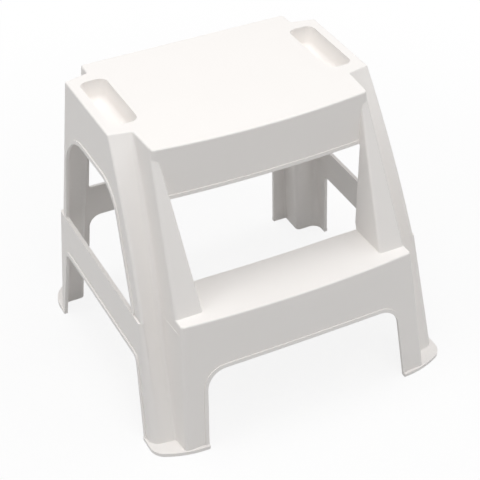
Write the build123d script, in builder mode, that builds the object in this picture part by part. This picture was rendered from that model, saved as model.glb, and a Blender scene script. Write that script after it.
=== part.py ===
"""Two-step stool moulded in one piece: a thin drafted shell on four corrugated legs, open underneath.

The plan of the shell at any height is a long tread crossed by a wider, shorter grip block, so each leg is
folded twice. The moulding is divided along its own folds and rims into named pieces that meet face to face.
Millimetres, +Z up, +X to the right as seen from the front, front towards -Y, origin on the floor at the
middle of the footprint.
"""

import os
from math import radians, sqrt, tan
from typing import NamedTuple

from build123d import *

# Heights
top_height = 400.0
step_height = 194.0
ring_drop = 16.0
rail_depth = 58.0
rear_rail_depth = 53.5
foot_height = 5.5
crown_share = 0.55

# Walls, rims and edges
wall = 3.0
lip_width = 5.5
lip_proud = 1.8
edge_round = 2.4
base_step = 2.5
end_relief = 0.4

# Top plan
tread_width = 321.2
tread_depth = 242.0
tread_bow = 11.5
apron_bow = 7.5
grip_width = 392.8
grip_setback = 24.0
grip_front = 53.0
grip_front_taper = 6.5
grip_rear_taper = 8.0
return_taper = 3.0

# Hand pockets in the grips
pocket_end = 22.0
pocket_width = 39.0
pocket_depth = 30.0
pocket_inset = 14.0
pocket_corner = 12.0
pocket_floor_round = 8.0
pocket_draft = 8.0

# Slopes of the walls, in degrees from upright
side_splay = 4.4
rear_splay = 3.6
step_lean = 10.7
apron_draft = 4.3

# Lower step, and the ledge it leaves in front of the columns
step_reach = 112.0
step_depth = 84.5
step_bow = 8.5
step_back_bow = 5.0
ledge_depth = 17.2
column_setback = 6.0
column_lead = 6.0
column_round = 4.0

# How far the front folds stand in front of the top tread's edge, and how the post facets turn
post_reach_crown = -1.0
post_reach_ring = 52.0
post_reach_floor = 123.5
post_turn_crown = -6.5
post_turn_ring = -14.0
post_turn_floor = 6.0

# How far the rear folds stand in front of the top tread's rear edge
rear_post_run_crown = 23.0
rear_post_run_ring = 19.0
rear_post_run_floor = 14.0

# Skirts and openings
apron_depth = 76.0
side_panel_depth = 70.0
rear_apron_depth = 70.0
lower_apron_depth = 76.5
column_width_top = 9.1
column_width_step = 40.0
side_window_back_run = 39.6
side_window_jamb = 13.0
side_window_share = 1.17
side_window_round = 60.0
side_gap_back_run = 47.0
side_gap_back_splay = 4.0
side_gap_reach = 7.0
side_gap_front_lean = 17.2
side_gap_round = 11.0
rear_window_margin = 15.5
rear_window_round = 30.0
rear_sill_rise = 4.0
rear_gap_margin = 22.9
rear_gap_round = 20.0
front_gap_margin = 34.3
front_gap_round = 30.0
front_gap_arch = 2.0
rear_opening_splay = 3.2
sill_round = 4.0

# Stiffening ribs under the treads
rib_wall = 2.0
rib_pitch = 45.0
top_rib_depth = 16.0
lower_rib_depth = 12.0

# Foot flanges
toe = 2.4
toe_radius = 140.0
toe_round = 24.0
heel_round = 50.0

# Roundness of the vertical folds at the top, the crown, the ring, the base below it and the floor
facet_width = (grip_width - tread_width) / 2
corner_rounds = (3.0, 4.0, 4.0, 5.0, min(17.0, facet_width / 2))
fold_rounds = (4.0, 6.0, 6.0, 6.0, 4.0)
ridge_round = 5.0


def rise(angle, height):
    """How far a face that leans by angle moves sideways over height."""
    return height * tan(radians(angle))


def tread_end(z):
    """Half the tread's width at height z, along the splay of its ends."""
    return tread_width / 2 + rise(side_splay, top_height - z)


# Levels that several pieces share
ring_height = step_height - ring_drop
rail_bottom = ring_height - rail_depth
rear_rail_bottom = ring_height - rear_rail_depth
crown_height = ring_height + crown_share * (top_height - ring_height)
apron_bottom = top_height - apron_depth
plate_under = top_height - wall
step_under = step_height - wall
ring_under = ring_height - 2 * wall

# Depths measured forwards from the top tread's rear edge
grip_length = tread_depth - grip_setback - grip_front
pocket_length = grip_length - 2 * pocket_end
column_run = tread_depth - column_setback
step_run = tread_depth + step_reach
column_rate = (step_run - ledge_depth - column_run) / (top_height - step_height)
post_run_top = grip_setback + grip_length
post_run_crown = tread_depth + post_reach_crown
post_run_ring = tread_depth + post_reach_ring
post_run_floor = tread_depth + post_reach_floor
window_rate = side_window_share * (post_run_ring - post_run_crown) / (crown_height - ring_height)
window_run = post_run_ring - side_window_jamb
gap_run = post_run_ring + side_gap_reach

# Half widths of the openings in the rear and the front, at their heads
rear_window_half = tread_end(top_height - rear_apron_depth) - rear_window_margin
rear_gap_half = tread_end(rear_rail_bottom) - rear_gap_margin
front_gap_half = tread_end(step_height - lower_apron_depth) - front_gap_margin

# The footprint is centred on the origin, which places the tread's rear edge
step_front_floor = step_run + rise(step_lean, step_height)
rear_reach = rise(rear_splay, top_height) + base_step + toe
front_reach = step_front_floor + lip_proud + toe
base_depth = rear_reach + front_reach
tread_back = base_depth / 2 - rear_reach
base_half_width = grip_width / 2 + rise(side_splay, top_height) + base_step + toe


class Level(NamedTuple):
    """Plan of the shell's outside at one height, right half."""

    z: float
    grip_x: float
    tread_x: float
    front_y: float
    front_fold_y: float
    front_corner_y: float
    rear_corner_y: float
    rear_fold_y: float
    rear_y: float
    corner_round: float
    fold_round: float


def between(low, high, z):
    """The plan at height z on the straight line between two levels, or beyond them."""
    share = (z - low.z) / (high.z - low.z)
    return Level(*(a + (b - a) * share for a, b in zip(low, high)))


def column_front(z):
    """Depth of the columns' leaning front face."""
    return tread_back - column_run - column_rate * (top_height - z)


def step_front(z):
    """Depth of the lower step's front face at its ends."""
    return tread_back - step_run - rise(step_lean, step_height - z)


def upper_level(z, post_run, post_turn, rear_run, rear_turn, corner_round, fold_round):
    """A plan above the ring: the front follows the columns."""
    drop = top_height - z
    return Level(
        z,
        grip_width / 2 + rise(side_splay, drop),
        tread_end(z),
        column_front(z),
        tread_back - post_run,
        tread_back - post_run + post_turn,
        tread_back - rear_run - rear_turn,
        tread_back - rear_run,
        tread_back + rise(rear_splay, drop),
        corner_round,
        fold_round,
    )


def lower_level(z, post_run, post_turn, rear_run, corner_round, fold_round):
    """A plan below the ring: the base stands proud and the front follows the lower step."""
    drop = top_height - z
    return Level(
        z,
        grip_width / 2 + rise(side_splay, drop) + base_step,
        tread_end(z) + end_relief,
        step_front(z),
        tread_back - post_run,
        tread_back - post_run + post_turn,
        tread_back - rear_run + base_step,
        tread_back - rear_run + base_step,
        tread_back + rise(rear_splay, drop) + base_step,
        corner_round,
        fold_round,
    )


top = upper_level(
    top_height,
    post_run_top,
    grip_front_taper,
    grip_setback,
    grip_rear_taper,
    corner_rounds[0],
    fold_rounds[0],
)
crown = upper_level(
    crown_height,
    post_run_crown,
    post_turn_crown,
    rear_post_run_crown,
    grip_rear_taper / 2,
    corner_rounds[1],
    fold_rounds[1],
)
ring = upper_level(
    ring_height,
    post_run_ring,
    post_turn_ring,
    rear_post_run_ring,
    base_step,
    corner_rounds[2],
    fold_rounds[2],
)
base = lower_level(
    ring_height,
    post_run_ring,
    post_turn_ring,
    rear_post_run_ring,
    corner_rounds[3],
    fold_rounds[3],
)
floor = lower_level(
    0.0,
    post_run_floor,
    post_turn_floor,
    rear_post_run_floor,
    corner_rounds[4],
    fold_rounds[4],
)


def outline(level, grow=0.0, bow=0.0):
    """Closed plan of the shell at a level, grown outwards: tread and grip block with rounded folds."""
    right = [
        (level.tread_x, level.front_y),
        (level.tread_x + return_taper, level.front_fold_y),
        (level.grip_x, level.front_corner_y),
        (level.grip_x, level.rear_corner_y),
        (level.tread_x, level.rear_fold_y),
        (level.tread_x, level.rear_y),
    ]
    fold, corner = level.fold_round, level.corner_round
    rounds = [ridge_round, fold, corner, corner, fold, ridge_round]
    left = [(-x, y) for x, y in reversed(right)]
    with BuildSketch(Plane.XY.offset(level.z)) as plan:
        with BuildLine():
            Polyline(*right, *left)
            if bow:
                ThreePointArc(left[-1], (0, level.front_y - bow), right[0])
            else:
                Line(left[-1], right[0])
        make_face()
        for (x, y), radius in zip(right, rounds):
            for side in (1, -1):
                fillet(plan.vertices().sort_by_distance((side * x, y, 0))[0], radius)
        if grow:
            offset(amount=grow)
    return plan.sketch


def strip(z, half_width, front_y, front_bow, back_y, back_bow, corner, grow=0.0):
    """Plan of a tread-like strip at height z: bowed front and back edges, rounded front corners."""
    with BuildSketch(Plane.XY.offset(z)) as plan:
        with BuildLine():
            Line((-half_width, front_y), (-half_width, back_y))
            if back_bow:
                ThreePointArc((-half_width, back_y), (0, back_y - back_bow), (half_width, back_y))
            else:
                Line((-half_width, back_y), (half_width, back_y))
            Line((half_width, back_y), (half_width, front_y))
            ThreePointArc((half_width, front_y), (0, front_y - front_bow), (-half_width, front_y))
        make_face()
        for side in (1, -1):
            fillet(plan.vertices().sort_by_distance((side * half_width, front_y, 0))[0], corner)
        if grow:
            offset(amount=grow, kind=Kind.INTERSECTION)
    return plan.sketch


def leg_block(levels, grow=0.0):
    """Solid inside the legs' outline above the ring, carried through the given levels."""
    with BuildPart() as block:
        loft([outline(level, grow) for level in levels])
    return block.part


def base_block(levels, grow=0.0):
    """Solid inside the legs' outline below the ring: its front bows out towards the lower step."""
    with BuildPart() as block:
        loft([outline(level, grow, max(step_bow * level.z / step_height, 0.0)) for level in levels])
    return block.part


def apron_strip(z, grow=0.0, back_y=0.0):
    """Plan of the top tread's front part at height z."""
    drop = top_height - z
    front_y = tread_back - tread_depth - rise(apron_draft, drop)
    half_width = tread_end(z) - end_relief
    bow = tread_bow - (tread_bow - apron_bow) * drop / apron_depth
    return strip(z, half_width, front_y, bow, back_y, 0.0, ridge_round, grow)


def step_strip(z, grow=0.0):
    """Plan of the lower step at height z."""
    half_width = tread_end(z) + end_relief
    back_y = tread_back - step_run + step_depth
    return strip(z, half_width, step_front(z), step_bow, back_y, step_back_bow, ridge_round, grow)


def bay_half_width(z):
    """Half the space between the columns at height z."""
    share = (z - step_height) / (top_height - step_height)
    return tread_end(z) - column_width_step - (column_width_top - column_width_step) * share


def bay(grow, back_line):
    """Space between the columns up to the top plate, widened by grow, in front of a back line."""
    with BuildPart() as space:
        with BuildSketch(Plane.XZ.offset(-tread_back)):
            with BuildLine():
                low = bay_half_width(step_under) + grow
                high = bay_half_width(plate_under) + grow
                right = [(low, step_under), (high, plate_under)]
                left = [(-x, z) for x, z in reversed(right)]
                Polyline(*right, *left, close=True)
            make_face()
        extrude(amount=base_depth)
        with BuildSketch(Plane.YZ):
            with BuildLine():
                front = -base_depth
                Polyline((front, step_under), *back_line, (front, plate_under), close=True)
            make_face()
        extrude(amount=base_half_width, both=True, mode=Mode.INTERSECT)
    return space.part


def side_window(grow):
    """Profile of the arched window in each side, seen along X."""
    back = tread_back - side_window_back_run
    head = top_height - side_panel_depth
    front_low = tread_back - window_run
    front_high = front_low + window_rate * (head - ring_height)
    with BuildSketch(Plane.YZ) as profile:
        with BuildLine():
            Polyline(
                (back, ring_height),
                (back, head),
                (front_high, head),
                (front_low, ring_height),
                close=True,
            )
        make_face()
        fillet(profile.vertices().group_by(Axis.Y)[-1], side_window_round)
        fillet(profile.vertices().group_by(Axis.Y)[0], sill_round)
        if grow:
            offset(amount=grow)
    return profile.sketch


def side_gap(grow):
    """Profile of the gap between the front and rear legs under each side rail, seen along X."""
    back_high = tread_back - side_gap_back_run
    back_low = back_high + rise(side_gap_back_splay, rail_bottom + top_height)
    front_high = tread_back - gap_run
    front_low = front_high - rise(side_gap_front_lean, rail_bottom + top_height)
    with BuildSketch(Plane.YZ) as profile:
        with BuildLine():
            Polyline(
                (back_low, -top_height),
                (back_high, rail_bottom),
                (front_high, rail_bottom),
                (front_low, -top_height),
                close=True,
            )
        make_face()
        fillet(profile.vertices().group_by(Axis.Y)[-1], side_gap_round)
        if grow:
            offset(amount=grow)
    return profile.sketch


def end_opening(high, splay, bottom, head, head_round, foot_round, grow, arch=0.0):
    """Profile of an opening seen along Y: half width high at its head, splayed below."""
    low = high + rise(splay, head - bottom)
    with BuildSketch(Plane.XZ) as profile:
        with BuildLine():
            Polyline((high, head), (low, bottom), (-low, bottom), (-high, head))
            if arch:
                ThreePointArc((-high, head), (0, head + arch), (high, head))
            else:
                Line((-high, head), (high, head))
        make_face()
        fillet(profile.vertices().group_by(Axis.Y)[-1], head_round)
        if foot_round:
            fillet(profile.vertices().group_by(Axis.Y)[0], foot_round)
        if grow:
            offset(amount=grow)
    return profile.sketch


def rear_window(grow):
    """Profile of the window in the back."""
    head = top_height - rear_apron_depth
    sill = ring_height + rear_sill_rise
    return end_opening(
        rear_window_half, rear_opening_splay, sill, head, rear_window_round, sill_round, grow
    )


def rear_gap(grow):
    """Profile of the gap under the rear rail."""
    return end_opening(
        rear_gap_half, rear_opening_splay, -top_height, rear_rail_bottom, rear_gap_round, 0.0, grow
    )


def front_gap(grow):
    """Profile of the gap under the lower apron."""
    head = step_height - lower_apron_depth
    return end_opening(
        front_gap_half, side_splay, -top_height, head, front_gap_round, 0.0, grow, front_gap_arch
    )


def flange_outline(grow):
    """Outline of the foot flanges on the floor: front edges that curve back towards the corners."""
    tip = front_gap_half + rise(side_splay, step_height - lower_apron_depth)
    front, back = -base_depth / 2, base_depth / 2
    shoulder = front + toe_radius - sqrt(toe_radius**2 - (base_half_width - tip) ** 2)
    with BuildSketch() as profile:
        with BuildLine():
            for side in (1, -1):
                TangentArc((side * tip, front), (side * base_half_width, shoulder), tangent=(side, 0))
                Line((side * base_half_width, shoulder), (side * base_half_width, back))
            Line((-tip, front), (tip, front))
            Line((-base_half_width, back), (base_half_width, back))
        make_face()
        for side in (1, -1):
            fillet(profile.vertices().sort_by_distance((side * base_half_width, shoulder, 0))[0], toe_round)
            fillet(profile.vertices().sort_by_distance((side * base_half_width, back, 0))[0], heel_round)
        if grow:
            offset(amount=grow)
    return profile.sketch


def rib_grid(half_width, front_y, back_y, top_z, depth):
    """Crossed ribs that hang from a plate, spread evenly at about the rib pitch."""
    columns = round(2 * half_width / rib_pitch)
    rows = round((back_y - front_y) / rib_pitch)
    column_pitch = 2 * half_width / columns
    row_pitch = (back_y - front_y) / rows
    with BuildPart() as grid:
        with BuildSketch(Plane((0.0, (front_y + back_y) / 2, top_z))):
            with GridLocations(column_pitch, row_pitch, columns + 1, 1):
                Rectangle(rib_wall, back_y - front_y)
            with GridLocations(column_pitch, row_pitch, 1, rows - 1):
                Rectangle(2 * half_width, rib_wall)
        extrude(amount=-depth)
    return grid.part


def through_sides(profile):
    """A profile seen along X carried through both sides."""
    with BuildPart() as cutter:
        extrude(profile, amount=base_half_width, both=True)
    return cutter.part


def through_rear(profile):
    """A profile seen along Y carried through the rear wall."""
    with BuildPart() as cutter:
        extrude(profile, amount=-base_depth)
    return cutter.part


def through_front(profile):
    """A profile seen along Y carried through the front wall."""
    with BuildPart() as cutter:
        extrude(profile, amount=base_depth)
    return cutter.part


def block(x_span, y_span, z_span):
    """A box given by its limits along each axis."""
    with BuildPart() as box:
        with Locations((x_span[0], y_span[0], z_span[0])):
            sizes = [high - low for low, high in (x_span, y_span, z_span)]
            Box(*sizes, align=(Align.MIN, Align.MIN, Align.MIN))
    return box.part


def slab(back_line, front_line):
    """Right half of the space above the step, between two planes given at the step and at the top."""
    with BuildPart() as space:
        with BuildSketch(Plane.YZ):
            with BuildLine():
                Polyline(
                    (back_line[0], step_under),
                    (back_line[1], top_height),
                    (front_line[1], top_height),
                    (front_line[0], step_under),
                    close=True,
                )
            make_face()
        extrude(amount=base_depth)
    return space.part


# Outer block of the legs above the ring, with the bay cut out between the columns
step_back = tread_back - step_run + step_depth
return_back = tread_back - tread_depth - rise(apron_draft, apron_depth) - column_lead
recess_back = tread_back - column_run + 2 * column_round
column_back = [
    (step_back, step_under),
    (return_back, apron_bottom),
    (recess_back, apron_bottom),
    (recess_back, plate_under),
]
whole_back = [(tread_back, step_under), (tread_back, plate_under)]
fold_back = [(top.front_fold_y, step_under), (top.front_fold_y, plate_under)]
with BuildPart() as upper_block:
    add(leg_block([ring, crown, top]))
    fillet(upper_block.faces().sort_by(Axis.Z)[-1].edges(), edge_round)
    add(bay(0.0, column_back), mode=Mode.SUBTRACT)
    ridge_z = (step_height + apron_bottom) / 2
    ridge_points = [(side * bay_half_width(ridge_z), column_front(ridge_z), ridge_z) for side in (1, -1)]
    fillet([upper_block.edges().sort_by_distance(point)[0] for point in ridge_points], column_round)

# Outer block of the lower step: a full-width ledge that narrows to pass between the columns
with BuildPart() as step_block:
    loft([step_strip(ring_height), step_strip(step_height)])
    fillet(step_block.faces().sort_by(Axis.Z)[-1].edges().sort_by(Axis.Y)[:5], edge_round)
    ledge_back = column_front(step_height) + ridge_round
    neck = tread_end(step_height) - wall / 2
    ledge_zone = block((-base_depth, base_depth), (-base_depth, ledge_back), (0.0, top_height))
    neck_zone = block((-neck, neck), (-base_depth, base_depth), (0.0, top_height))
    add(ledge_zone + neck_zone, mode=Mode.INTERSECT)

# Hollow of the legs above the ring, with and without the columns' inner walls
with BuildPart() as leg_core:
    add(leg_block([between(ring, crown, ring_under), crown, between(crown, top, plate_under)], -wall))
with BuildPart() as upper_hollow:
    add(leg_core.part)
    add(bay(wall, column_back), mode=Mode.SUBTRACT)
with BuildPart() as column_hollow:
    add(leg_core.part)
    add(bay(wall, whole_back), mode=Mode.SUBTRACT)

# Hollows of the base, the lower step and the space behind the front apron
with BuildPart() as base_hollow:
    below_floor = between(floor, base, -wall)
    add(base_block([below_floor, between(floor, base, ring_height - wall)], -wall))
with BuildPart() as step_hollow:
    loft([step_strip(ring_under, -wall), step_strip(step_under, -wall)])
with BuildPart() as apron_hollow:
    core_back = top.front_fold_y + 4 * wall
    loft([apron_strip(z, -wall, core_back) for z in (apron_bottom - wall, plate_under)])

# Front apron: a bowed skirt between the columns, with a lip along its lower edge
with BuildPart() as apron_lip:
    lip_top = apron_bottom + lip_width
    loft([apron_strip(z, lip_proud, top.front_fold_y) for z in (apron_bottom, lip_top)])
    add(bay(wall / 2, whole_back), mode=Mode.INTERSECT)
with BuildPart() as apron_skirt:
    loft([apron_strip(z, 0.0, top.front_fold_y) for z in (apron_bottom, top_height)])
    fillet(apron_skirt.faces().sort_by(Axis.Z)[-1].edges().sort_by(Axis.Y)[:-1], edge_round)
    add(apron_lip.part)
    add(apron_hollow.part, mode=Mode.SUBTRACT)
    add(column_hollow.part, mode=Mode.SUBTRACT)

# Turned-down rear edge of the lower step, between the columns
bay_low = bay_half_width(step_under)
skirt_front = step_back - step_back_bow - 2 * wall
skirt_zone = block((-bay_low, bay_low), (skirt_front, step_back), (ring_height, step_under))
with BuildPart() as step_skirt:
    add(step_block.part)
    add(step_hollow.part, mode=Mode.SUBTRACT)
    add(skirt_zone, mode=Mode.INTERSECT)

# Lips round the windows and gaps: a band of the skin, grown outwards
with BuildPart() as side_window_lips:
    add(leg_block([ring, crown, top], lip_proud))
    add(through_sides(side_window(lip_width)), mode=Mode.INTERSECT)
    add(bay(0.0, column_back), mode=Mode.SUBTRACT)
with BuildPart() as rear_window_lips:
    add(leg_block([ring, crown, top], lip_proud))
    add(through_rear(rear_window(lip_width)), mode=Mode.INTERSECT)
with BuildPart() as base_lips:
    add(base_block([floor, base], lip_proud))
    end_bands = through_rear(rear_gap(lip_width)) + through_front(front_gap(lip_width))
    add(through_sides(side_gap(lip_width)) + end_bands, mode=Mode.INTERSECT)

# Foot flanges: a shallow pan round the floor outline, outside the legs' inner face
with BuildPart() as flange_pan:
    extrude(flange_outline(0.0), amount=foot_height)
    extrude(flange_outline(-wall), amount=foot_height - wall, mode=Mode.SUBTRACT)
    add(base_block([below_floor, base], -wall), mode=Mode.SUBTRACT)

# The whole moulding, before it is divided: blocks, hollows, skirts and openings
with BuildPart() as moulding:
    add(upper_block.part)
    add(side_window_lips.part)
    add(rear_window_lips.part)
    add(base_block([floor, base]))
    add(base_lips.part)
    add(step_block.part)
    add(base_hollow.part, mode=Mode.SUBTRACT)
    add(step_hollow.part, mode=Mode.SUBTRACT)
    add(upper_hollow.part, mode=Mode.SUBTRACT)
    add(apron_hollow.part, mode=Mode.SUBTRACT)
    add(apron_skirt.part)
    add(step_skirt.part)
    add(flange_pan.part)
    add(through_sides(side_window(0.0)), mode=Mode.SUBTRACT)
    add(through_sides(side_gap(0.0)), mode=Mode.SUBTRACT)
    add(through_rear(rear_window(0.0)), mode=Mode.SUBTRACT)
    add(through_rear(rear_gap(0.0)), mode=Mode.SUBTRACT)
    add(through_front(front_gap(0.0)), mode=Mode.SUBTRACT)

# Hand pocket: a drafted cup hung from the grip, and the space inside it
pocket_x = grip_width / 2 - pocket_inset - pocket_width / 2
pocket_y = tread_back - grip_setback - grip_length / 2
with BuildPart() as pocket_space:
    with BuildSketch(Plane((pocket_x, pocket_y, top_height))):
        RectangleRounded(pocket_width, pocket_length, pocket_corner)
    extrude(amount=-pocket_depth, taper=pocket_draft)
    fillet(pocket_space.faces().sort_by(Axis.Z)[0].edges(), pocket_floor_round)
with BuildPart() as pocket_cup:
    with BuildSketch(Plane((pocket_x, pocket_y, top_height))):
        RectangleRounded(pocket_width + 2 * wall, pocket_length + 2 * wall, pocket_corner + wall)
    extrude(amount=-pocket_depth - wall, taper=pocket_draft)
    fillet(pocket_cup.faces().sort_by(Axis.Z)[0].edges(), pocket_floor_round + wall)

# Where the moulding is divided
far_x = base_half_width + wall
far_y = base_depth / 2 + wall
tread_split = pocket_x - pocket_width / 2 - 2 * wall
rear_split = rear_window_half - rear_window_round * 0.6
apron_split = front_gap_half - front_gap_round
leg_split = tread_back - side_window_back_run - side_window_round / 3
rail_split = tread_back - window_run + 2.5 * sill_round
mid_window = (ring_height + apron_bottom) / 2
post_fold = between(ring, crown, step_under).front_fold_y
column_split = (
    (column_front(step_under) + post_fold) / 2,
    (column_front(top_height) + top.front_fold_y) / 2,
)
panel_low = tread_back - window_run + side_window_round / 2
panel_split = [panel_low + window_rate * (z - ring_height) for z in (step_under, top_height)]
inner_zone = bay(1.5 * wall, fold_back)
open_zone = bay(0.0, whole_back)

# The middle of the moulding, between the feet and the top plate, and its right half
with BuildPart() as middle:
    add(moulding.part)
    add(block((-far_x, far_x), (-far_y, far_y), (foot_height, plate_under)), mode=Mode.INTERSECT)
with BuildPart() as right_half:
    add(middle.part)
    add(block((0.0, far_x), (-far_y, far_y), (0.0, top_height)), mode=Mode.INTERSECT)

os.makedirs("parts", exist_ok=True)

# Top tread: the upper standing plate between the two hand pockets
with BuildPart() as top_tread:
    add(moulding.part)
    add(block((-tread_split, tread_split), (-far_y, far_y), (plate_under, top_height)), mode=Mode.INTERSECT)
top_tread.part.label = "top_tread"
export_step(top_tread.part, "parts/top_tread.step")

# Top ribs: the grid under the top tread, from the front apron to the rear wall
with BuildPart() as top_ribs:
    rib_heights = (plate_under - top_rib_depth, plate_under)
    grid_front = tread_back - tread_depth - rise(apron_draft, wall + top_rib_depth) - tread_bow
    grid_back = tread_back + rise(rear_splay, wall + top_rib_depth)
    loft([apron_strip(z, -wall, tread_back + rise(rear_splay, top_height - z)) for z in rib_heights])
    add(
        rib_grid(tread_split - wall, grid_front, grid_back, plate_under, top_rib_depth),
        mode=Mode.INTERSECT,
    )
top_ribs.part.label = "top_ribs"
export_step(top_ribs.part, "parts/top_ribs.step")

# Grips: the ends of the top plate, each with its sunk hand pocket
with BuildPart() as right_grip:
    add(moulding.part)
    add(block((tread_split, far_x), (-far_y, far_y), (plate_under, top_height)), mode=Mode.INTERSECT)
    add(pocket_cup.part)
    add(pocket_space.part, mode=Mode.SUBTRACT)
right_grip.part.label = "right_grip"
export_step(right_grip.part, "parts/right_grip.step")
with BuildPart() as left_grip:
    mirror(right_grip.part, about=Plane.YZ)
left_grip.part.label = "left_grip"
export_step(left_grip.part, "parts/left_grip.step")

# Front apron: the bowed skirt under the top tread's front edge, between the columns
with BuildPart() as front_apron:
    add(middle.part)
    add(open_zone, mode=Mode.INTERSECT)
    add(block((-far_x, far_x), (-far_y, 0.0), (mid_window, top_height)), mode=Mode.INTERSECT)
front_apron.part.label = "front_apron"
export_step(front_apron.part, "parts/front_apron.step")

# Rear apron and rear rail: the skirt above the rear window and the bar below it
with BuildPart() as rear_apron:
    add(middle.part)
    add(block((-rear_split, rear_split), (leg_split, far_y), (mid_window, top_height)), mode=Mode.INTERSECT)
rear_apron.part.label = "rear_apron"
export_step(rear_apron.part, "parts/rear_apron.step")
with BuildPart() as rear_rail:
    add(middle.part)
    add(block((-rear_split, rear_split), (leg_split, far_y), (0.0, mid_window)), mode=Mode.INTERSECT)
rear_rail.part.label = "rear_rail"
export_step(rear_rail.part, "parts/rear_rail.step")

# Rear legs: folded walls from the feet to the top plate
with BuildPart() as rear_right_leg:
    add(right_half.part)
    add(block((rear_split, far_x), (leg_split, far_y), (0.0, top_height)), mode=Mode.INTERSECT)
rear_right_leg.part.label = "rear_right_leg"
export_step(rear_right_leg.part, "parts/rear_right_leg.step")
with BuildPart() as rear_left_leg:
    mirror(rear_right_leg.part, about=Plane.YZ)
rear_left_leg.part.label = "rear_left_leg"
export_step(rear_left_leg.part, "parts/rear_left_leg.step")

# Side panels: the skirts under the grips, above the side windows
with BuildPart() as right_side_panel:
    add(right_half.part)
    add(slab((leg_split, leg_split), panel_split), mode=Mode.INTERSECT)
right_side_panel.part.label = "right_side_panel"
export_step(right_side_panel.part, "parts/right_side_panel.step")
with BuildPart() as left_side_panel:
    mirror(right_side_panel.part, about=Plane.YZ)
left_side_panel.part.label = "left_side_panel"
export_step(left_side_panel.part, "parts/left_side_panel.step")

# Side rails: the bars between the front and rear legs
with BuildPart() as right_rail:
    add(right_half.part)
    add(block((0.0, far_x), (rail_split, leg_split), (0.0, step_under)), mode=Mode.INTERSECT)
right_rail.part.label = "right_rail"
export_step(right_rail.part, "parts/right_rail.step")
with BuildPart() as left_rail:
    mirror(right_rail.part, about=Plane.YZ)
left_rail.part.label = "left_rail"
export_step(left_rail.part, "parts/left_rail.step")

# Lower tread: the first step's plate
with BuildPart() as lower_tread:
    add(moulding.part)
    reach = neck + 2 * wall
    add(block((-reach, reach), (-far_y, step_back), (step_under, step_height)), mode=Mode.INTERSECT)
    add(upper_block.part, mode=Mode.SUBTRACT)
lower_tread.part.label = "lower_tread"
export_step(lower_tread.part, "parts/lower_tread.step")

# Lower hem: the turned-down rear edge of the first step
with BuildPart() as lower_hem:
    add(step_skirt.part)
lower_hem.part.label = "lower_hem"
export_step(lower_hem.part, "parts/lower_hem.step")

# Lower ribs: the grid under the first step, from its front wall to its hem
with BuildPart() as lower_ribs:
    add(step_hollow.part)
    add(
        rib_grid(apron_split - wall, -far_y, step_back, step_under, lower_rib_depth),
        mode=Mode.INTERSECT,
    )
lower_ribs.part.label = "lower_ribs"
export_step(lower_ribs.part, "parts/lower_ribs.step")

# Lower apron: the bowed skirt under the first step
with BuildPart() as lower_apron:
    add(middle.part)
    add(block((-apron_split, apron_split), (-far_y, skirt_front), (0.0, step_under)), mode=Mode.INTERSECT)
lower_apron.part.label = "lower_apron"
export_step(lower_apron.part, "parts/lower_apron.step")

# Columns: the hollow uprights that carry the top tread over the step
with BuildPart() as front_right_column:
    add(right_half.part)
    add(slab(column_split, (-far_y, -far_y)) + inner_zone, mode=Mode.INTERSECT)
    add(open_zone, mode=Mode.SUBTRACT)
    add(lower_tread.part, mode=Mode.SUBTRACT)
front_right_column.part.label = "front_right_column"
export_step(front_right_column.part, "parts/front_right_column.step")
with BuildPart() as front_left_column:
    mirror(front_right_column.part, about=Plane.YZ)
front_left_column.part.label = "front_left_column"
export_step(front_left_column.part, "parts/front_left_column.step")

# Posts: the folded outer walls of the front legs above the step
with BuildPart() as front_right_post:
    add(right_half.part)
    add(slab(panel_split, column_split) - inner_zone, mode=Mode.INTERSECT)
front_right_post.part.label = "front_right_post"
export_step(front_right_post.part, "parts/front_right_post.step")
with BuildPart() as front_left_post:
    mirror(front_right_post.part, about=Plane.YZ)
front_left_post.part.label = "front_left_post"
export_step(front_left_post.part, "parts/front_left_post.step")

# Front legs: the folded walls below the step
with BuildPart() as front_right_leg:
    add(right_half.part)
    add(block((apron_split, far_x), (-far_y, rail_split), (0.0, step_under)), mode=Mode.INTERSECT)
    add(skirt_zone, mode=Mode.SUBTRACT)
front_right_leg.part.label = "front_right_leg"
export_step(front_right_leg.part, "parts/front_right_leg.step")
with BuildPart() as front_left_leg:
    mirror(front_right_leg.part, about=Plane.YZ)
front_left_leg.part.label = "front_left_leg"
export_step(front_left_leg.part, "parts/front_left_leg.step")

# Feet: the flanged ends of the four legs
with BuildPart() as front_right_foot:
    add(moulding.part)
    add(block((0.0, far_x), (-far_y, 0.0), (0.0, foot_height)), mode=Mode.INTERSECT)
front_right_foot.part.label = "front_right_foot"
export_step(front_right_foot.part, "parts/front_right_foot.step")
with BuildPart() as front_left_foot:
    mirror(front_right_foot.part, about=Plane.YZ)
front_left_foot.part.label = "front_left_foot"
export_step(front_left_foot.part, "parts/front_left_foot.step")
with BuildPart() as rear_right_foot:
    add(moulding.part)
    add(block((0.0, far_x), (0.0, far_y), (0.0, foot_height)), mode=Mode.INTERSECT)
rear_right_foot.part.label = "rear_right_foot"
export_step(rear_right_foot.part, "parts/rear_right_foot.step")
with BuildPart() as rear_left_foot:
    mirror(rear_right_foot.part, about=Plane.YZ)
rear_left_foot.part.label = "rear_left_foot"
export_step(rear_left_foot.part, "parts/rear_left_foot.step")
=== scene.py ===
"""White two-step stool: one thin polypropylene moulding, dressed for a plain studio picture.

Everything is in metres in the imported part's frame: +Z up, front towards -Y, origin on the floor.
"""

from math import cos, radians, sin

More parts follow.
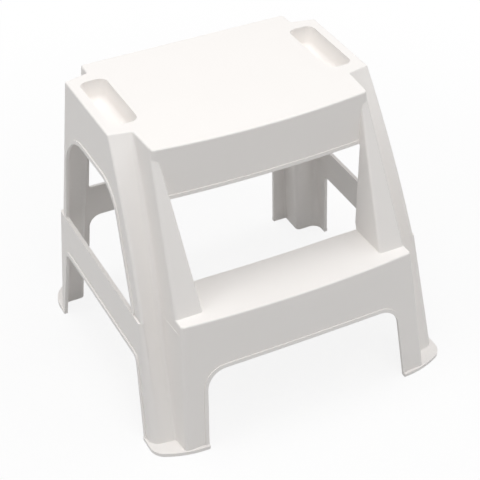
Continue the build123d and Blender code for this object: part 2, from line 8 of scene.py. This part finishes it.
import bpy
import numpy as np
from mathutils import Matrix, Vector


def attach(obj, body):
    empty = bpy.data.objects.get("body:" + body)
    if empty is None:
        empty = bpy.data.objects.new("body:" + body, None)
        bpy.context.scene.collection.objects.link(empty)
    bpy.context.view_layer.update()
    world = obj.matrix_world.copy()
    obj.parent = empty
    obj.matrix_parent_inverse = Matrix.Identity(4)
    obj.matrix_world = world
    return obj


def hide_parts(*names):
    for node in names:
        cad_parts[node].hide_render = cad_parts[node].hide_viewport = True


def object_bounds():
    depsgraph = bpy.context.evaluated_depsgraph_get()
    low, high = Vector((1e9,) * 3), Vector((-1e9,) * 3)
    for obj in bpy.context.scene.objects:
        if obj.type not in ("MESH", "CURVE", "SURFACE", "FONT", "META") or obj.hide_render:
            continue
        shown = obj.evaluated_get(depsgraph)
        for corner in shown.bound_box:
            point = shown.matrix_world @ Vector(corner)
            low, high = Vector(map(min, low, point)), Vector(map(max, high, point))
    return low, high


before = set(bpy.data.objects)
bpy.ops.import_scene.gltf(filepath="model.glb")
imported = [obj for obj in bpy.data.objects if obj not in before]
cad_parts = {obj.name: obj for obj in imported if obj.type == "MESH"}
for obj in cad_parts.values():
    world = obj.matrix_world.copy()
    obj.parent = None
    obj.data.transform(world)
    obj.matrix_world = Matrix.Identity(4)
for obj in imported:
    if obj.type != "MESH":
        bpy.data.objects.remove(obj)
cad_low, cad_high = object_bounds()

# Legs, rails and feet. The lower half of one injection moulding in white polypropylene: folded walls
# 3 mm thick, drawn from a spark-eroded steel tool, which leaves a satin skin with a very fine grain.
# The melt flows from the middle of the top, so tone and gloss drift a little along the walls.
front_legs = ["front_left_leg", "front_right_leg"]
rear_legs = ["rear_left_leg", "rear_right_leg"]
foot_nodes = [leg.replace("leg", "foot") for leg in front_legs + rear_legs]
rail_nodes = ["left_rail", "right_rail", "rear_rail"]
polypropylene_ior = 1.49
shell_white = (0.938, 0.911, 0.887)
shell_shade = (0.918, 0.891, 0.866)
shell_roughness = (0.40, 0.50)
shell_grain = 0.0009
shell_grain_depth = 0.00004
grain_detail = 2.0
grain_strength = 0.5
flow_size = 0.09
flow_detail = 3.0


def moulded_plastic(name, grain, grain_depth, roughness):
    """White plastic: a slow noise drifts tone and gloss, a fine noise raises the skin's grain."""
    material = bpy.data.materials.new(name)
    material.use_nodes = True
    nodes, links = material.node_tree.nodes, material.node_tree.links
    skin = nodes["Principled BSDF"]
    skin.inputs["IOR"].default_value = polypropylene_ior
    place = nodes.new("ShaderNodeTexCoord")

    flow = nodes.new("ShaderNodeTexNoise")
    flow.inputs["Scale"].default_value = 1 / flow_size
    flow.inputs["Detail"].default_value = flow_detail
    links.new(place.outputs["Object"], flow.inputs["Vector"])
    tone = nodes.new("ShaderNodeMix")
    tone.data_type = "RGBA"
    tone.inputs["A"].default_value = (*shell_shade, 1)
    tone.inputs["B"].default_value = (*shell_white, 1)
    links.new(flow.outputs["Fac"], tone.inputs["Factor"])
    links.new(tone.outputs["Result"], skin.inputs["Base Color"])

    sheen = nodes.new("ShaderNodeMapRange")
    sheen.inputs["To Min"].default_value = roughness[0]
    sheen.inputs["To Max"].default_value = roughness[1]
    links.new(flow.outputs["Fac"], sheen.inputs["Value"])
    links.new(sheen.outputs["Result"], skin.inputs["Roughness"])

    pits = nodes.new("ShaderNodeTexNoise")
    pits.inputs["Scale"].default_value = 1 / grain
    pits.inputs["Detail"].default_value = grain_detail
    links.new(place.outputs["Object"], pits.inputs["Vector"])
    relief = nodes.new("ShaderNodeBump")
    relief.inputs["Strength"].default_value = grain_strength
    relief.inputs["Distance"].default_value = grain_depth
    links.new(pits.outputs["Fac"], relief.inputs["Height"])
    links.new(relief.outputs["Normal"], skin.inputs["Normal"])
    return material


def dress(names, material):
    """Give the moulding's named regions their finish."""
    for name in names:
        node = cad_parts[name]
        node.data.materials.clear()
        node.data.materials.append(material)


shell_plastic = moulded_plastic("shell_plastic", shell_grain, shell_grain_depth, shell_roughness)
dress(rear_legs + foot_nodes + rail_nodes, shell_plastic)

# The front legs run on into the step above the height of the rails without a seam. The solids have a
# hairline ledge there, which is drawn all but flush in a copy, so that no face shrinks to nothing. The
# wide ledge at the rails stays.
ledge_height = max(corner[2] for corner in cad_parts["left_rail"].bound_box)
hairline = 0.0008
wide_ledge = 0.0016
drawn_in = 0.97
same_place = 0.000002
place_digits = 7


def flush(name):
    """A merged copy of a region without its hairline ledge: at the ledge's height, each point of the wall
    below moves towards the nearest point of the wall above, by the drawn-in share of the gap where that is
    a hairline, by less where it is wider, and not at all at a wide ledge. The shading stays the solid's."""
    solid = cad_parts[name].data
    points = np.empty(len(solid.vertices) * 3)
    solid.vertices.foreach_get("co", points)
    corners = np.empty(len(solid.loops), int)
    solid.loops.foreach_get("vertex_index", corners)
    shading = np.empty(len(solid.loops) * 3)
    solid.corner_normals.foreach_get("vector", shading)
    places, place_of = np.unique(points.reshape(-1, 3).round(place_digits), axis=0, return_inverse=True)
    faces = place_of.ravel()[corners].reshape(-1, 3)

    rise = places[:, 2] - ledge_height
    level = np.abs(rise) < same_place
    above = faces[rise[faces].max(1) > same_place]
    below = faces[rise[faces].min(1) < -same_place]
    edges = above[:, [[0, 1], [1, 2], [2, 0]]].reshape(-1, 2)
    edges = edges[level[edges].all(1)]
    lower = np.setdiff1d(below[level[below]], edges)
    start, end = places[edges[:, 0]], places[edges[:, 1]]
    along = end - start
    share = ((places[lower, None] - start) * along).sum(2) / (along * along).sum(1)
    nearest = start + np.clip(share, 0, 1)[..., None] * along
    gaps = np.linalg.norm(nearest - places[lower, None], axis=2)
    closest = nearest[np.arange(len(lower)), gaps.argmin(1)]
    drawn = np.clip((wide_ledge - gaps.min(1)) / (wide_ledge - hairline), 0, 1)
    places[lower] += drawn_in * drawn[:, None] * (closest - places[lower])

    mesh = bpy.data.meshes.new(f"{name}_flush")
    mesh.from_pydata(places.tolist(), [], faces.tolist(), shade_flat=False)
    mesh.normals_split_custom_set(shading.reshape(-1, 3).tolist())
    mesh.materials.append(shell_plastic)
    piece = bpy.data.objects.new(f"{name}_flush", mesh)
    bpy.context.scene.collection.objects.link(piece)
    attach(piece, "root")
    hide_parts(name)


for name in front_legs:
    flush(name)

# The lower step: a plate with a bowed skirt in front and a turned-down hem behind. What a foot stands
# on is stippled in the tool, coarser and more matt than the walls, so that it doesn't slip.
stipple = 0.0017
stipple_depth = 0.00012
stipple_roughness = (0.50, 0.60)
tread_plastic = moulded_plastic("tread_plastic", stipple, stipple_depth, stipple_roughness)
dress(["lower_tread"], tread_plastic)
flush("lower_apron")

# The undersides: ribs and hem come from the tool's core, which is milled and only rubbed down, so
# their grain is finer and they shine a little more than the outside.
core_grain = 0.0005
core_grain_depth = 0.00002
core_roughness = (0.34, 0.42)
core_plastic = moulded_plastic("core_plastic", core_grain, core_grain_depth, core_roughness)
dress(["lower_hem", "lower_ribs", "top_ribs"], core_plastic)

# The uprights: hollow columns and folded posts that lean back from the step to the top, moulded in
# one with the legs below them.
upright_nodes = [f"front_{side}_{piece}" for side in ("left", "right") for piece in ("column", "post")]
dress(upright_nodes, shell_plastic)

# The top: a wide stippled tread, a grip with a blind hand pocket at each end, and a skirt all round,
# moulded in one with the uprights and the rear legs that carry it.
dress(["top_tread", "left_grip", "right_grip"], tread_plastic)
dress(["front_apron", "rear_apron", "left_side_panel", "right_side_panel"], shell_plastic)

# The studio floor: a pale sheet without edges, which throws light back up at the stool. Near the stool
# it shows as white paper with a soft shadow, and it fades to plain white further out, as on a sweep.
floor_half = 30.0
floor_pale = (0.80, 0.80, 0.80, 1)
paper_white = (0.98, 0.98, 0.98, 1)
shadow_share = 0.14
shadow_near = 0.35
shadow_far = 1.10
floor_corners = np.array([(-1, -1, 0), (1, -1, 0), (1, 1, 0), (-1, 1, 0)], float) * floor_half
floor_mesh = bpy.data.meshes.new("studio_floor")
floor_mesh.from_pydata(floor_corners.tolist(), [], [(0, 1, 2, 3)])
studio_floor = bpy.data.objects.new("studio_floor", floor_mesh)
bpy.context.scene.collection.objects.link(studio_floor)


def seen_directly(nodes, links):
    """1 for rays that show the surface to the camera, by itself, by reflection or through something."""
    path = nodes.new("ShaderNodeLightPath")
    total = path.outputs["Is Camera Ray"]
    for kind in ("Is Glossy Ray", "Is Transmission Ray"):
        larger = nodes.new("ShaderNodeMath")
        larger.operation = "MAXIMUM"
        links.new(total, larger.inputs[0])
        links.new(path.outputs[kind], larger.inputs[1])
        total = larger.outputs[0]
    return total


floor_paint = bpy.data.materials.new("studio_floor")
floor_paint.use_nodes = True
nodes, links = floor_paint.node_tree.nodes, floor_paint.node_tree.links
nodes.clear()
bounced = nodes.new("ShaderNodeBsdfDiffuse")
bounced.inputs["Color"].default_value = floor_pale
paper = nodes.new("ShaderNodeBsdfDiffuse")
paper.inputs["Color"].default_value = paper_white
white = nodes.new("ShaderNodeEmission")
place = nodes.new("ShaderNodeTexCoord")
distance = nodes.new("ShaderNodeVectorMath")
distance.operation = "LENGTH"
links.new(place.outputs["Object"], distance.inputs[0])
whiteness = nodes.new("ShaderNodeMapRange")
whiteness.interpolation_type = "SMOOTHSTEP"
whiteness.inputs["From Min"].default_value = shadow_near
whiteness.inputs["From Max"].default_value = shadow_far
whiteness.inputs["To Min"].default_value = 1 - shadow_share
whiteness.inputs["To Max"].default_value = 1.0
links.new(distance.outputs["Value"], whiteness.inputs["Value"])
shown = nodes.new("ShaderNodeMixShader")
links.new(whiteness.outputs["Result"], shown.inputs["Fac"])
links.new(paper.outputs["BSDF"], shown.inputs[1])
links.new(white.outputs["Emission"], shown.inputs[2])
either = nodes.new("ShaderNodeMixShader")
links.new(seen_directly(nodes, links), either.inputs["Fac"])
links.new(bounced.outputs["BSDF"], either.inputs[1])
links.new(shown.outputs["Shader"], either.inputs[2])
output = nodes.new("ShaderNodeOutputMaterial")
links.new(either.outputs["Shader"], output.inputs["Surface"])
floor_mesh.materials.append(floor_paint)

# Light: an even white surround, which shows as plain white, and four soft boxes: a strong one nearly
# overhead, behind at the left, one high in front, one high at the right and a weak low one at the left.
# Level faces come out nearly white, and upright ones a light grey.
surround_white = (1, 1, 1, 1)
surround_strength = 0.20
shown_strength = 1.0
world = bpy.data.worlds.new("studio")
world.use_nodes = True
nodes, links = world.node_tree.nodes, world.node_tree.links
sky = nodes["Background"]
surround = nodes.new("ShaderNodeMapRange")
surround.inputs["To Min"].default_value = surround_strength
surround.inputs["To Max"].default_value = shown_strength
links.new(seen_directly(nodes, links), surround.inputs["Value"])
links.new(surround.outputs["Result"], sky.inputs["Strength"])
sky.inputs["Color"].default_value = surround_white
bpy.context.scene.world = world

box_size = 1.6
box_reach = 2.6
box_middle = (np.array(cad_low) + np.array(cad_high)) / 2

# Each box's turn from the front and its lift, both in degrees, and its power in watts
boxes = {
    "overhead_box": (225, 75, 25.6),
    "front_box": (0, 58, 19.6),
    "right_box": (90, 58, 12.9),
    "left_box": (270, 40, 8.1),
}
for name, (turn, lift, power) in boxes.items():
    lamp = bpy.data.lights.new(name, "AREA")
    lamp.shape = "SQUARE"
    lamp.size = box_size
    lamp.energy = power
    soft_box = bpy.data.objects.new(name, lamp)
    out, up = cos(radians(lift)), sin(radians(lift))
    towards = np.array([out * sin(radians(turn)), -out * cos(radians(turn)), up])
    soft_box.location = box_middle + box_reach * towards
    soft_box.rotation_euler = (radians(90 - lift), 0, radians(turn))
    bpy.context.scene.collection.objects.link(soft_box)

# The camera stands in front to the left and looks down, where the photograph was taken from. Its turn
# and drop are in degrees, its lens and sensor in millimetres.
eye = (-0.7227, -1.4089, 1.3782)
eye_turn = -27.05
eye_drop = 37.56
lens_length = 103.32
sensor = 36.0
camera_data = bpy.data.cameras.new("photo_camera")
camera_data.lens = lens_length
camera_data.sensor_width = sensor
photo_camera = bpy.data.objects.new("photo_camera", camera_data)
photo_camera.location = eye
photo_camera.rotation_euler = (radians(90 - eye_drop), 0, radians(eye_turn))
bpy.context.scene.collection.objects.link(photo_camera)
bpy.context.scene.camera = photo_camera
bpy.context.scene.view_settings.view_transform = "Standard"
